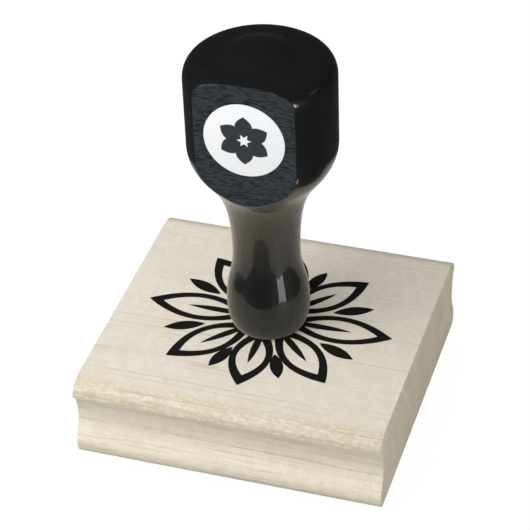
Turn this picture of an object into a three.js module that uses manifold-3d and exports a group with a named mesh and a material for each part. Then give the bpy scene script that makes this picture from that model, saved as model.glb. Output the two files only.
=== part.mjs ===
// A wood-mounted rubber stamp: a moulded maple block, a turned handle with a flat for its label,
// a screw that holds the two together, and a cushioned rubber die under the block.
// Millimetres. X runs along the moulded edges, -Y is the front, +Z is up, and Z = 0 is the face that prints.
import * as THREE from "three";
import { mergeVertices } from "three/addons/utils/BufferGeometryUtils.js";
import Module from "manifold-3d";

const wasm = await Module();
wasm.setup();

// ---- Driving dimensions -------------------------------------------------------------------------

// Mount block: a length of moulding, with the same edge at the front and at the back.
const BLOCK_LENGTH = 61;
const BLOCK_DEPTH = 58.8;
const BLOCK_HEIGHT = 17.3;
const BEAD_RUN = 4.7; // from the flat top out to the top bead's nose
const BEAD_DROP = 3.2; // from the flat top down to the top bead's lower edge
const BEAD_SETBACK = 0.15; // the top bead's nose behind the bottom bead's nose
const QUIRK = 0.9; // the small step in under the top bead
const COVE_SETBACK = 2; // the cove's deepest line behind the bottom bead's nose
const COVE_LEVEL = 8.8; // the cove's deepest line above the block's underside
const FOOT_BEAD_LEVEL = 2.5; // the bottom bead's nose above the block's underside
const FOOT_BEAD_TUCK = 1.6; // how far the bottom bead turns under
const BEAD_FALL = 0.3; // how soon the bottom bead turns into the cove, as a share of the rise between them

// Handle: turned round, then faced flat on the front of its head. Levels are above the block.
const HANDLE_HEIGHT = 62.8;
const HEAD_RADIUS = 14.2;
const HEAD_SIDE = 13.95; // the straight side of the head
const SHOULDER_DROP = 6.35; // from the top of the handle to the top of the straight side
const SHOULDER_RUN = 7.6; // from the straight side in to the crown
const CROWN_RISE = 1.5; // the shallow dome inside the shoulder
const SHOULDER_RISE = 4.6; // how far the shoulder's curve is pulled straight up from the side
const SHOULDER_EASE = 0.79; // and straight out from the crown, as a share of the crown's own pull
const FLARE_DROP = 5.3; // from the straight side down to where the neck's hollow ends
const FLARE_SETBACK = 1.7; // the neck's radius there, short of the head's
const WAIST_RADIUS = 6.55;
const WAIST_LEVEL = 17.8;
const FOOT_RADIUS = 8.12;
const FOOT_LEVEL = 5.2; // the foot's widest line
const FOOT_ROUND = 1.7; // how far the foot turns in to its seat
const FLAT_DEPTH = 3.8; // how far the flat cuts into the head
// How strongly the neck's curves are pulled straight: up from the foot and down to the waist, up from
// the waist (both as shares of the rise), and back along the flare's own slope.
const FOOT_PULL = 0.48;
const NECK_PULL = 0.72;
const FLARE_PULL = 1.39;

// Label: a paper disc in the middle of the flat.
const LABEL_MARGIN = 2; // the flat left bare at the label's sides
const LABEL_THICKNESS = 0.12;
const LABEL_DROP = 0.4; // its centre below the middle of the head's straight side

// Screw: a countersunk wood screw, driven up through the block into the handle.
const SCREW_LENGTH = 32;
const SCREW_SHANK_RADIUS = 2;
const SCREW_CORE_RADIUS = 1.45;
const SCREW_HEAD_RADIUS = 4.1;
const SCREW_HEAD_DEPTH = 2.9;
const SCREW_RIM = 0.4; // the straight rim at the edge of the head
const SCREW_PITCH = 1.8;
const SCREW_THREAD_START = 13.5; // from the head's face
const SCREW_TIP = 4; // the pointed end
const SCREW_RECESS_SPAN = 4.4;
const SCREW_RECESS_WIDTH = 0.9;
const SCREW_RECESS_DEPTH = 1.8;
const SCREW_SINK = 0.9; // the head's face above the block's underside
const SCREW_CLEARANCE = 0.35; // round the screw, in both pieces of wood
const PILOT_OVERRUN = 2; // the handle's hole beyond the screw's point

// Die and cushion: cut to one outline, set in from the edges of the block.
const DIE_END_MARGIN = 3.5;
const DIE_FRONT_MARGIN = 6.5;
const DIE_CORNER = 6;
const DIE_SHEET = 1.2;
const RELIEF = 1.1;
const FILM_THICKNESS = 0.12;
const FOAM_THICKNESS = 2.2;
const CONTACT_GAP = 0.02; // between flat faces that touch

// The motif in relief: a flower with pointed petals and small leaves between them.
const MOTIF_MARGIN = 2; // from the die's edge
const PETALS = 8;
const PETAL_START = 3.4;
const PETAL_WIDTH = 8.2;
const LINE_WIDTH = 1.35;
const TIP_LINE = 3; // the line's length at the point of a petal
const VEIN_WIDTH = 1.5;
const VEIN_SHARE = 0.62; // of the petal's length
const LEAF_WIDTH = 2.6;
const LEAF_START = 0.52; // shares of the motif's reach
const LEAF_END = 0.86;
const HEART_RADIUS = 4.2;

// How finely round things are cut into facets.
const CURVE_STEPS = 7;
const TURNED_STEPS = 48;
const SCREW_STEPS = 20;

// ---- Sizes and levels that follow from them -----------------------------------------------------

const dieLength = BLOCK_LENGTH - 2 * DIE_END_MARGIN;
const dieDepth = BLOCK_DEPTH - 2 * DIE_FRONT_MARGIN;
const dieTop = RELIEF + DIE_SHEET;
const lowerFilmBottom = dieTop + CONTACT_GAP;
const foamBottom = lowerFilmBottom + FILM_THICKNESS + CONTACT_GAP;
const upperFilmBottom = foamBottom + FOAM_THICKNESS + CONTACT_GAP;
const blockBottom = upperFilmBottom + FILM_THICKNESS + CONTACT_GAP;
const blockTop = blockBottom + BLOCK_HEIGHT;
const handleBottom = blockTop + CONTACT_GAP;
const screwFace = blockBottom + SCREW_SINK;
const headTop = HANDLE_HEIGHT - SHOULDER_DROP;
const headBottom = headTop - HEAD_SIDE;
const flatDistance = HEAD_RADIUS - FLAT_DEPTH;
const flatHalfWidth = Math.sqrt(HEAD_RADIUS ** 2 - flatDistance ** 2);
const labelRadius = flatHalfWidth - LABEL_MARGIN;
const labelLevel = blockTop + (headTop + headBottom) / 2 - LABEL_DROP;
const boreRadius = SCREW_SHANK_RADIUS + SCREW_CLEARANCE;

// ---- Finishes -----------------------------------------------------------------------------------

const maple = new THREE.MeshStandardMaterial({ color: 0xe3d9c3, roughness: 0.6 });
const blackPaint = new THREE.MeshStandardMaterial({ color: 0x101214, roughness: 0.18 });
const paper = new THREE.MeshStandardMaterial({ color: 0xf7f7f5, roughness: 0.45 });
const zinc = new THREE.MeshStandardMaterial({ color: 0xb9bcc0, roughness: 0.35, metalness: 1 });
const foam = new THREE.MeshStandardMaterial({ color: 0xe9e7e1, roughness: 0.9 });
const rubber = new THREE.MeshStandardMaterial({ color: 0x9c3a34, roughness: 0.75 });
const film = new THREE.MeshStandardMaterial({ color: 0xf1eedf, roughness: 0.4 });

// ---- Making solids ------------------------------------------------------------------------------

function solidOf(geometry) {
  const bare = geometry.clone();
  bare.deleteAttribute("normal");
  bare.deleteAttribute("uv");
  const merged = mergeVertices(bare, 1e-4);
  const mesh = new wasm.Mesh({
    numProp: 3,
    vertProperties: merged.attributes.position.array,
    triVerts: new Uint32Array(merged.index.array),
  });
  return new wasm.Manifold(mesh);
}

function geometryOf(solid) {
  const mesh = solid.getMesh();
  const geometry = new THREE.BufferGeometry();
  geometry.setAttribute("position", new THREE.BufferAttribute(mesh.vertProperties, 3));
  geometry.setIndex(new THREE.BufferAttribute(mesh.triVerts, 1));
  geometry.computeVertexNormals();
  return geometry;
}

function piece(name, geometry, material, level = 0) {
  const mesh = new THREE.Mesh(geometry, material);
  mesh.name = name;
  mesh.position.z = level;
  return mesh;
}

// The points along a chain of curves, each joint given once.
function pointsAlong(curves) {
  const points = [];
  for (const curve of curves) {
    const stretch = curve.isLineCurve ? curve.getPoints(1) : curve.getPoints(CURVE_STEPS);
    points.push(...(points.length ? stretch.slice(1) : stretch));
  }
  return points;
}

function at(x, y) {
  return new THREE.Vector2(x, y);
}

// A quarter of an ellipse that leaves one point straight up or down and reaches the other level.
function quarterRound(from, to) {
  return new THREE.EllipseCurve(to.x, from.y, from.x - to.x, to.y - from.y, 0, Math.PI / 2);
}

// A profile of (radius, height) points turned about the Z axis.
function turned(points, steps) {
  return new THREE.LatheGeometry(points, steps).rotateX(Math.PI / 2);
}

function slab(shape, thickness) {
  const options = { depth: thickness, bevelEnabled: false, curveSegments: CURVE_STEPS };
  return new THREE.ExtrudeGeometry(shape, options);
}

// ---- Mount block --------------------------------------------------------------------------------

// The front edge of the block's section, as points (distance back from the bottom bead's nose, height).
function mouldedEdge() {
  const underside = at(FOOT_BEAD_TUCK, 0);
  const footNose = at(0, FOOT_BEAD_LEVEL);
  const coveLine = at(COVE_SETBACK, COVE_LEVEL);
  const beadEdge = at(BEAD_SETBACK, BLOCK_HEIGHT - BEAD_DROP);
  const quirkEdge = at(BEAD_SETBACK + QUIRK, beadEdge.y - QUIRK / 2);
  const flatEdge = at(BEAD_SETBACK + BEAD_RUN, BLOCK_HEIGHT);
  const footRise = COVE_LEVEL - FOOT_BEAD_LEVEL;
  const coveTurn = at(COVE_SETBACK, (COVE_LEVEL + quirkEdge.y) / 2);
  const tuck = pointsAlong([quarterRound(footNose, underside)]).reverse();
  const rise = pointsAlong([
    new THREE.CubicBezierCurve(
      footNose,
      at(0, FOOT_BEAD_LEVEL + BEAD_FALL * footRise),
      at(COVE_SETBACK, COVE_LEVEL - footRise / 2),
      coveLine,
    ),
    new THREE.QuadraticBezierCurve(coveLine, coveTurn, quirkEdge),
    new THREE.LineCurve(quirkEdge, beadEdge),
    quarterRound(beadEdge, flatEdge),
  ]);
  return [...tuck, ...rise.slice(1)];
}

function blockBody() {
  const edge = mouldedEdge();
  const front = edge.map((p) => at(p.x - BLOCK_DEPTH / 2, p.y));
  const back = edge.map((p) => at(BLOCK_DEPTH / 2 - p.x, p.y)).reverse();
  const section = new THREE.Shape([...front, ...back].reverse());
  const alongX = new THREE.Matrix4().makeBasis(
    new THREE.Vector3(0, 1, 0),
    new THREE.Vector3(0, 0, 1),
    new THREE.Vector3(1, 0, 0),
  );
  return slab(section, BLOCK_LENGTH).applyMatrix4(alongX).translate(-BLOCK_LENGTH / 2, 0, 0);
}

// The hole from below: a pocket for the head, its countersink, and the shank's hole.
function screwHole() {
  const headRadius = SCREW_HEAD_RADIUS + SCREW_CLEARANCE;
  const rimTop = SCREW_SINK + SCREW_RIM;
  const past = 1;
  const profile = [
    at(0, -past),
    at(headRadius, -past),
    at(headRadius, rimTop),
    at(boreRadius, SCREW_SINK + SCREW_HEAD_DEPTH),
    at(boreRadius, BLOCK_HEIGHT + past),
    at(0, BLOCK_HEIGHT + past),
  ];
  return turned(profile, SCREW_STEPS);
}

function mountBlock() {
  return geometryOf(solidOf(blockBody()).subtract(solidOf(screwHole())));
}

// ---- Handle -------------------------------------------------------------------------------------

function handleProfile() {
  const seat = at(FOOT_RADIUS - FOOT_ROUND, 0);
  const foot = at(FOOT_RADIUS, FOOT_LEVEL);
  const waist = at(WAIST_RADIUS, WAIST_LEVEL);
  const flare = at(HEAD_RADIUS - FLARE_SETBACK, headBottom - FLARE_DROP);
  const sideBottom = at(HEAD_RADIUS, headBottom);
  const sideTop = at(HEAD_RADIUS, headTop);
  const crownEdge = at(HEAD_RADIUS - SHOULDER_RUN, HANDLE_HEIGHT - CROWN_RISE);
  const crownPull = at(crownEdge.x / 2, HANDLE_HEIGHT);
  const shoulderPull = crownEdge.clone().lerp(crownPull, -SHOULDER_EASE);
  const footPull = FOOT_PULL * (waist.y - foot.y);
  const neckPull = NECK_PULL * (flare.y - waist.y);
  const sideCorner = at(HEAD_RADIUS, (flare.y + headBottom) / 2);
  const flarePull = flare.clone().sub(sideCorner).multiplyScalar(FLARE_PULL);
  return [
    at(0, 0),
    ...pointsAlong([quarterRound(foot, seat)]).reverse(),
    ...pointsAlong([
      new THREE.CubicBezierCurve(foot, at(foot.x, foot.y + footPull), at(waist.x, waist.y - footPull), waist),
      new THREE.CubicBezierCurve(waist, at(waist.x, waist.y + neckPull), flare.clone().add(flarePull), flare),
      new THREE.QuadraticBezierCurve(flare, sideCorner, sideBottom),
      new THREE.LineCurve(sideBottom, sideTop),
      new THREE.CubicBezierCurve(sideTop, at(HEAD_RADIUS, headTop + SHOULDER_RISE), shoulderPull, crownEdge),
      new THREE.QuadraticBezierCurve(crownEdge, crownPull, at(0, HANDLE_HEIGHT)),
    ]).slice(1),
  ];
}

// What the flat takes off the front of the head.
function facing() {
  const reach = 2 * HEAD_RADIUS;
  const cutter = new THREE.BoxGeometry(reach * 2, reach, HANDLE_HEIGHT * 2);
  return cutter.translate(0, -flatDistance - reach / 2, HANDLE_HEIGHT / 2);
}

function pilotHole() {
  const depth = screwFace + SCREW_LENGTH + PILOT_OVERRUN - handleBottom;
  const past = 1;
  const profile = [at(0, -past), at(boreRadius, -past), at(boreRadius, depth - boreRadius), at(0, depth)];
  return turned(profile, SCREW_STEPS);
}

function handleBody() {
  const body = solidOf(turned(handleProfile(), TURNED_STEPS));
  return geometryOf(body.subtract(solidOf(facing())).subtract(solidOf(pilotHole())));
}

function labelDisc() {
  const disc = new THREE.CylinderGeometry(labelRadius, labelRadius, LABEL_THICKNESS, TURNED_STEPS);
  return disc.translate(0, -flatDistance - CONTACT_GAP - LABEL_THICKNESS / 2, 0);
}

// ---- Screw --------------------------------------------------------------------------------------

// A round-topped ridge wound along the core, from the shank to the point.
function screwThread() {
  const turns = Math.floor((SCREW_LENGTH - SCREW_TIP - SCREW_THREAD_START) / SCREW_PITCH);
  const stepsPerTurn = 12;
  const ridge = SCREW_SHANK_RADIUS - SCREW_CORE_RADIUS;
  const points = [];
  for (let i = 0; i <= turns * stepsPerTurn; i++) {
    const turn = i / stepsPerTurn;
    const angle = turn * 2 * Math.PI;
    const x = SCREW_CORE_RADIUS * Math.cos(angle);
    const y = SCREW_CORE_RADIUS * Math.sin(angle);
    points.push(new THREE.Vector3(x, y, SCREW_THREAD_START + turn * SCREW_PITCH));
  }
  const path = new THREE.CatmullRomCurve3(points);
  const section = new THREE.Shape().absarc(0, 0, ridge, 0, 2 * Math.PI);
  const steps = turns * stepsPerTurn;
  return new THREE.ExtrudeGeometry(section, { extrudePath: path, steps, curveSegments: 3 });
}

function screwCore() {
  const neckLevel = SCREW_THREAD_START - SCREW_PITCH / 2;
  const profile = [
    at(0, 0),
    at(SCREW_HEAD_RADIUS, 0),
    at(SCREW_HEAD_RADIUS, SCREW_RIM),
    at(SCREW_SHANK_RADIUS, SCREW_HEAD_DEPTH),
    at(SCREW_SHANK_RADIUS, neckLevel),
    at(SCREW_CORE_RADIUS, neckLevel + SCREW_PITCH / 2),
    at(SCREW_CORE_RADIUS, SCREW_LENGTH - SCREW_TIP),
    at(0, SCREW_LENGTH),
  ];
  return turned(profile, SCREW_STEPS);
}

function handleScrew() {
  const past = 0.5;
  const depth = SCREW_RECESS_DEPTH + past;
  let screw = solidOf(screwCore()).add(solidOf(screwThread()));
  for (const quarter of [0, 1]) {
    const slot = new THREE.BoxGeometry(SCREW_RECESS_SPAN, SCREW_RECESS_WIDTH, depth);
    slot.rotateZ((quarter * Math.PI) / 2).translate(0, 0, depth / 2 - past);
    screw = screw.subtract(solidOf(slot));
  }
  return geometryOf(screw);
}

// ---- Die, cushion and films ---------------------------------------------------------------------

function dieOutline() {
  const x = dieLength / 2;
  const y = dieDepth / 2;
  const r = DIE_CORNER;
  const shape = new THREE.Shape();
  shape.moveTo(r - x, -y);
  shape.absarc(x - r, r - y, r, -Math.PI / 2, 0);
  shape.absarc(x - r, y - r, r, 0, Math.PI / 2);
  shape.absarc(r - x, y - r, r, Math.PI / 2, Math.PI);
  shape.absarc(r - x, r - y, r, Math.PI, 1.5 * Math.PI);
  return shape;
}

// A pointed leaf lying along +X, from one tip to the other. Its curves' pulls stand 2/3 of its
// width off the line between the tips, which makes it about as wide as it says.
function leafPath(from, to, width, Kind = THREE.Shape) {
  const leaf = new Kind();
  const third = (to - from) / 3;
  const pull = (width * 2) / 3;
  leaf.moveTo(from, 0);
  leaf.bezierCurveTo(from + third, -pull, to - third, -pull, to, 0);
  leaf.bezierCurveTo(to - third, pull, from + third, pull, from, 0);
  return leaf;
}

// How far the motif reaches in a direction: its outline is an ellipse.
function reachAt(angle) {
  const halfLength = dieLength / 2 - MOTIF_MARGIN;
  const halfDepth = dieDepth / 2 - MOTIF_MARGIN;
  return 1 / Math.hypot(Math.cos(angle) / halfLength, Math.sin(angle) / halfDepth);
}

function raised(shape, angle) {
  return solidOf(slab(shape, RELIEF + DIE_SHEET / 2).rotateZ(angle));
}

function petal(angle) {
  const reach = reachAt(angle);
  const outline = leafPath(PETAL_START, reach, PETAL_WIDTH);
  const innerStart = PETAL_START + TIP_LINE;
  const innerEnd = reach - TIP_LINE;
  outline.holes.push(leafPath(innerStart, innerEnd, PETAL_WIDTH - 2 * LINE_WIDTH, THREE.Path));
  const vein = leafPath(PETAL_START, PETAL_START + VEIN_SHARE * (reach - PETAL_START), VEIN_WIDTH);
  return raised(outline, angle).add(raised(vein, angle));
}

function betweenLeaf(angle) {
  const reach = reachAt(angle);
  return raised(leafPath(LEAF_START * reach, LEAF_END * reach, LEAF_WIDTH), angle);
}

function rubberDie() {
  const heart = new THREE.Shape().absarc(0, 0, HEART_RADIUS, 0, 2 * Math.PI);
  let die = solidOf(slab(dieOutline(), DIE_SHEET).translate(0, 0, RELIEF)).add(raised(heart, 0));
  for (let i = 0; i < PETALS; i++) {
    const angle = (i * 2 * Math.PI) / PETALS;
    die = die.add(petal(angle)).add(betweenLeaf(angle + Math.PI / PETALS));
  }
  return geometryOf(die);
}

// ---- Assembly -----------------------------------------------------------------------------------

const stamp = new THREE.Group();
stamp.add(
  piece("mount_block", mountBlock(), maple, blockBottom),
  piece("handle", handleBody(), blackPaint, handleBottom),
  piece("handle_label", labelDisc(), paper, labelLevel),
  piece("handle_screw", handleScrew(), zinc, screwFace),
  piece("block_adhesive_film", slab(dieOutline(), FILM_THICKNESS), film, upperFilmBottom),
  piece("cushion_foam", slab(dieOutline(), FOAM_THICKNESS), foam, foamBottom),
  piece("die_adhesive_film", slab(dieOutline(), FILM_THICKNESS), film, lowerFilmBottom),
  piece("rubber_die", rubberDie(), rubber),
);

export default stamp;
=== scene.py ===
import math

import bmesh
import bpy
from mathutils import Matrix, Vector, noise


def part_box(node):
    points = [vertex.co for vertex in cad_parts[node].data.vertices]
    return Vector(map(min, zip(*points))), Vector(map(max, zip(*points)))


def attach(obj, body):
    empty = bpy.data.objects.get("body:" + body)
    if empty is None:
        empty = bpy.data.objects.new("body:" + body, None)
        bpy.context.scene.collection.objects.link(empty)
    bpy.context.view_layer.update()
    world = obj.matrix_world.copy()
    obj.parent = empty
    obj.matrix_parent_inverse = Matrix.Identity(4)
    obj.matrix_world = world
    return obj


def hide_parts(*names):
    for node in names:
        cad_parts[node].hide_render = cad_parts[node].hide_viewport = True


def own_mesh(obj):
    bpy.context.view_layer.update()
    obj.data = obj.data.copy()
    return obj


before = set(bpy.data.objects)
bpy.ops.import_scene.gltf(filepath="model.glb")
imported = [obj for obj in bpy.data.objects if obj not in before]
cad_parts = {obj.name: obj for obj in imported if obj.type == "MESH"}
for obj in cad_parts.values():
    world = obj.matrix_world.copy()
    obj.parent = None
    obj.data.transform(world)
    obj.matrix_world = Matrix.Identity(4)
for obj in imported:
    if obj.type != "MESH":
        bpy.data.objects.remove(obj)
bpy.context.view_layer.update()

# ==== Camera ======================================================================================
# A long lens held above and to the right of the stamp, looking down on its front and right end.
# It is tipped a little to one side, so the stamp leans slightly in its view.
MM = 0.001
CAMERA_PLACE = Vector((106.30, -316.67, 291.42)) * MM
CAMERA_TURN = math.radians(18.632)
CAMERA_LOOK_DOWN = math.radians(37.475)
CAMERA_TIP = math.radians(-2.231)
FOCAL_LENGTH = 148.07

camera = bpy.data.objects.new("camera", bpy.data.cameras.new("camera"))
bpy.context.scene.collection.objects.link(camera)
bpy.context.scene.camera = camera
camera.data.lens = FOCAL_LENGTH
camera.data.clip_start = 0.01
camera.data.clip_end = 20
camera.matrix_world = (
    Matrix.Translation(CAMERA_PLACE)
    @ Matrix.Rotation(CAMERA_TURN, 4, "Z")
    @ Matrix.Rotation(math.pi / 2 - CAMERA_LOOK_DOWN, 4, "X")
    @ Matrix.Rotation(CAMERA_TIP, 4, "Z")
)


# ==== Mount block =================================================================================
# The stamp's body: a length of hard maple moulding, run with a bead, a cove and a round foot on its
# two long edges, sawn square at the ends and sanded. A screw hole goes up through its middle.
BEAD_RUN = 4.7
BEAD_DROP = 3.2
BEAD_SETBACK = 0.15
QUIRK = 0.9
COVE_SETBACK = 2.0
COVE_LEVEL = 8.8
FOOT_BEAD_LEVEL = 2.5
FOOT_BEAD_TUCK = 1.6
BEAD_FALL = 0.3
ARRIS = 0.22
SCREW_POCKET_RADIUS = 4.45
SCREW_POCKET_DEPTH = 1.3
SCREW_CONE_TOP = 3.8
BORE_RADIUS = 2.35
EDGE_STEPS = 8
HOLE_STEPS = 48
HOLE_OVERRUN = 1.0
WELD = 1e-7
FACES_END = 0.9
END_TOLERANCE = 1e-5


def cubic(a, b, c, d, steps):
    """Points along a curve from a to d, pulled towards b and c, without its last point."""
    a, b, c, d = (Vector(p) for p in (a, b, c, d))
    points = []
    for i in range(steps):
        t = i / steps
        u = 1 - t
        points.append(u**3 * a + 3 * u * u * t * b + 3 * u * t * t * c + t**3 * d)
    return points


def bent(a, b, c, steps):
    """Points along a curve from a to c that bends once, towards b, without its last point."""
    a, b, c = (Vector(p) for p in (a, b, c))
    return cubic(a, a + (b - a) * 2 / 3, c + (b - c) * 2 / 3, c, steps)


def quarter_round(start, end, steps):
    """A quarter of an ellipse, upright at start and level at end, without its last point."""
    points = []
    for i in range(steps):
        turn = math.pi / 2 * i / steps
        x = end[0] + (start[0] - end[0]) * math.cos(turn)
        y = start[1] + (end[1] - start[1]) * math.sin(turn)
        points.append(Vector((x, y)))
    return points


def moulded_edge(height, steps):
    """The section's front edge as (distance back, level), from the underside to the flat top."""
    underside = (FOOT_BEAD_TUCK, 0)
    nose = (0, FOOT_BEAD_LEVEL)
    cove = (COVE_SETBACK, COVE_LEVEL)
    bead = (BEAD_SETBACK, height - BEAD_DROP)
    quirk = (BEAD_SETBACK + QUIRK, bead[1] - QUIRK / 2)
    top = (BEAD_SETBACK + BEAD_RUN, height)
    rise = COVE_LEVEL - FOOT_BEAD_LEVEL
    tuck = quarter_round(nose, underside, steps)[1:]
    edge = [Vector(underside)] + tuck[::-1]
    low_pull = (0, nose[1] + BEAD_FALL * rise)
    high_pull = (cove[0], cove[1] - rise / 2)
    edge += cubic(nose, low_pull, high_pull, cove, 2 * steps)
    edge += bent(cove, (cove[0], (cove[1] + quirk[1]) / 2), quirk, steps)
    edge += [Vector(quirk)]
    return edge + quarter_round(bead, top, 2 * steps) + [Vector(top)]


def mesh_of(bm, name):
    """A mesh from a bmesh, which is freed."""
    mesh = bpy.data.meshes.new(name)
    bm.to_mesh(mesh)
    bm.free()
    return mesh


def piece(name, bm, body, materials, sharp_angle=40):
    """A new object that rides on a body, smooth except at edges over sharp_angle degrees."""
    for face in bm.faces:
        face.smooth = True
    for edge in bm.edges:
        turn = edge.calc_face_angle(0)
        edge.smooth = turn < math.radians(sharp_angle)
    made = bpy.data.objects.new(name, mesh_of(bm, name))
    for material in materials:
        made.data.materials.append(material)
    bpy.context.scene.collection.objects.link(made)
    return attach(made, body)


def joined(base, other, operation):
    """What a boolean operation leaves of two bmeshes, both of which are freed."""
    first = bpy.data.objects.new("base", mesh_of(base, "base"))
    second = bpy.data.objects.new("other", mesh_of(other, "other"))
    for made in (first, second):
        bpy.context.scene.collection.objects.link(made)
    cut = first.modifiers.new("cut", "BOOLEAN")
    cut.object = second
    cut.operation = operation
    cut.solver = "EXACT"
    cut.use_self = True
    seen = first.evaluated_get(bpy.context.evaluated_depsgraph_get())
    result = bmesh.new()
    result.from_mesh(seen.to_mesh())
    for made in (first, second):
        data = made.data
        bpy.data.objects.remove(made)
        bpy.data.meshes.remove(data)
    return result


def turned(profile, steps):
    """A closed bmesh of (radius, level) points, the first and last on the axis, turned about Z."""
    bm = bmesh.new()
    row = [bm.verts.new((p[0], 0, p[1])) for p in profile]
    line = [bm.edges.new(pair) for pair in zip(row, row[1:])]
    bmesh.ops.spin(
        bm, geom=row + line, cent=(0, 0, 0), axis=(0, 0, 1),
        angle=2 * math.pi, steps=steps, use_merge=True,
    )
    bmesh.ops.remove_doubles(bm, verts=bm.verts, dist=WELD)
    bmesh.ops.recalc_face_normals(bm, faces=bm.faces)
    return bm


block_low, block_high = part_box("mount_block")
block_height = (block_high.z - block_low.z) / MM
block_depth = (block_high.y - block_low.y) / MM
edge = moulded_edge(block_height, EDGE_STEPS)
front = [(p.x - block_depth / 2, p.y) for p in edge]
back = [(block_depth / 2 - p.x, p.y) for p in reversed(edge)]
bm = bmesh.new()
section = [
    bm.verts.new((block_low.x, y * MM, block_low.z + z * MM)) for y, z in front + back
]
bm.faces.new(section)
grown = bmesh.ops.extrude_face_region(bm, geom=bm.faces[:])["geom"]
far_end = [g for g in grown if isinstance(g, bmesh.types.BMVert)]
bmesh.ops.translate(bm, verts=far_end, vec=(block_high.x - block_low.x, 0, 0))
bmesh.ops.recalc_face_normals(bm, faces=bm.faces)
ends = [f for f in bm.faces if abs(f.normal.x) > FACES_END]
rims = list(dict.fromkeys(e for f in ends for e in f.edges))
bmesh.ops.bevel(
    bm, geom=rims, offset=ARRIS * MM,
    offset_type="OFFSET", affect="EDGES", segments=3, profile=0.5, material=-1,
)

hole_bottom, hole_top = -HOLE_OVERRUN, block_height + HOLE_OVERRUN
hole_profile = [
    (0, hole_bottom), (SCREW_POCKET_RADIUS, hole_bottom),
    (SCREW_POCKET_RADIUS, SCREW_POCKET_DEPTH), (BORE_RADIUS, SCREW_CONE_TOP),
    (BORE_RADIUS, hole_top), (0, hole_top),
]
hole = turned([(r * MM, z * MM + block_low.z) for r, z in hole_profile], HOLE_STEPS)
bm = joined(bm, hole, "DIFFERENCE")
for face in bm.faces:
    at_end = abs(abs(face.calc_center_median().x) - block_high.x) < END_TOLERANCE
    face.material_index = 1 if at_end and abs(face.normal.x) > FACES_END else 0


def add(tree, kind, settings=None, inputs=None):
    """A node of that kind, with its settings, and each input given a value or a link."""
    made = tree.nodes.new(kind)
    for name, value in (settings or {}).items():
        setattr(made, name, value)
    for name, value in (inputs or {}).items():
        put(tree, made.inputs[name], value)
    return made


def put(tree, socket, value):
    """A link where value is another node's output, or else a plain value."""
    if isinstance(value, bpy.types.NodeSocket):
        tree.links.new(value, socket)
    else:
        socket.default_value = value


def calc(tree, operation, *values):
    """The output of a Math node."""
    made = tree.nodes.new("ShaderNodeMath")
    made.operation = operation
    for socket, value in zip(made.inputs, values):
        put(tree, socket, value)
    return made.outputs[0]


def band(tree, value, low, high):
    """0 below low and 1 above high, smooth between them."""
    made = add(tree, "ShaderNodeMapRange", {"interpolation_type": "SMOOTHSTEP"})
    for socket, given in zip(made.inputs, (value, low, high, 0.0, 1.0)):
        put(tree, socket, given)
    return made.outputs[0]


def blend(tree, share, first, second, kind="MIX"):
    """Two colours mixed by share."""
    made = add(tree, "ShaderNodeMix", {"data_type": "RGBA", "blend_type": kind})
    colours = [s for s in made.inputs if s.type == "RGBA"]
    put(tree, made.inputs[0], share)
    put(tree, colours[0], first)
    put(tree, colours[1], second)
    return next(s for s in made.outputs if s.type == "RGBA")


def laid(tree, colour, tint, pattern, low, high, share):
    """The colour, with a share of tint over it where the pattern has passed from low to high."""
    strength = calc(tree, "MULTIPLY", band(tree, pattern, low, high), share)
    return blend(tree, strength, colour, tint)


def blur(tree, vector, stretch, size, detail=3.0, roughness=0.5):
    """Noise of that scale per millimetre on a stretched copy of vector."""
    scaled = add(
        tree, "ShaderNodeVectorMath", {"operation": "MULTIPLY"}, {0: vector, 1: stretch}
    )
    made = add(
        tree, "ShaderNodeTexNoise", None,
        {"Vector": scaled.outputs[0], "Scale": size, "Detail": detail, "Roughness": roughness},
    )
    return made.outputs[0]


def group(name, inputs, outputs):
    """An empty shader node group with those sockets, and its input and output nodes."""
    tree = bpy.data.node_groups.new(name, "ShaderNodeTree")
    for label, kind, value in inputs:
        socket = tree.interface.new_socket(label, in_out="INPUT", socket_type=kind)
        socket.default_value = value
    for label, kind in outputs:
        tree.interface.new_socket(label, in_out="OUTPUT", socket_type=kind)
    return tree, tree.nodes.new("NodeGroupInput"), tree.nodes.new("NodeGroupOutput")


def millimetres(tree):
    """The piece's own coordinates, in millimetres."""
    place = tree.nodes.new("ShaderNodeTexCoord").outputs["Object"]
    scale = (1 / MM, 1 / MM, 1 / MM)
    return add(
        tree, "ShaderNodeVectorMath", {"operation": "MULTIPLY"}, {0: place, 1: scale}
    ).outputs[0]


# The tree's heart lies in front of and below the block, along X, so its rings come out as lines
# along the faces and as slanting arcs on the ends.
HEART_Y = -73.0
HEART_Z = -20.0
FIRST_RING = 55.0
RINGS_PER_MM = 0.58
RINGS_CLOSING = 0.0062
UNEVEN_YEARS = 3.4
LATE_WOOD = (0.74, 0.93)
YEAR_END = (0.955, 1.0)
LINE_LASTS = (0.36, 0.6)
FAINTEST_LINE = 0.1
YEAR_SHARE = 0.35

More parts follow.
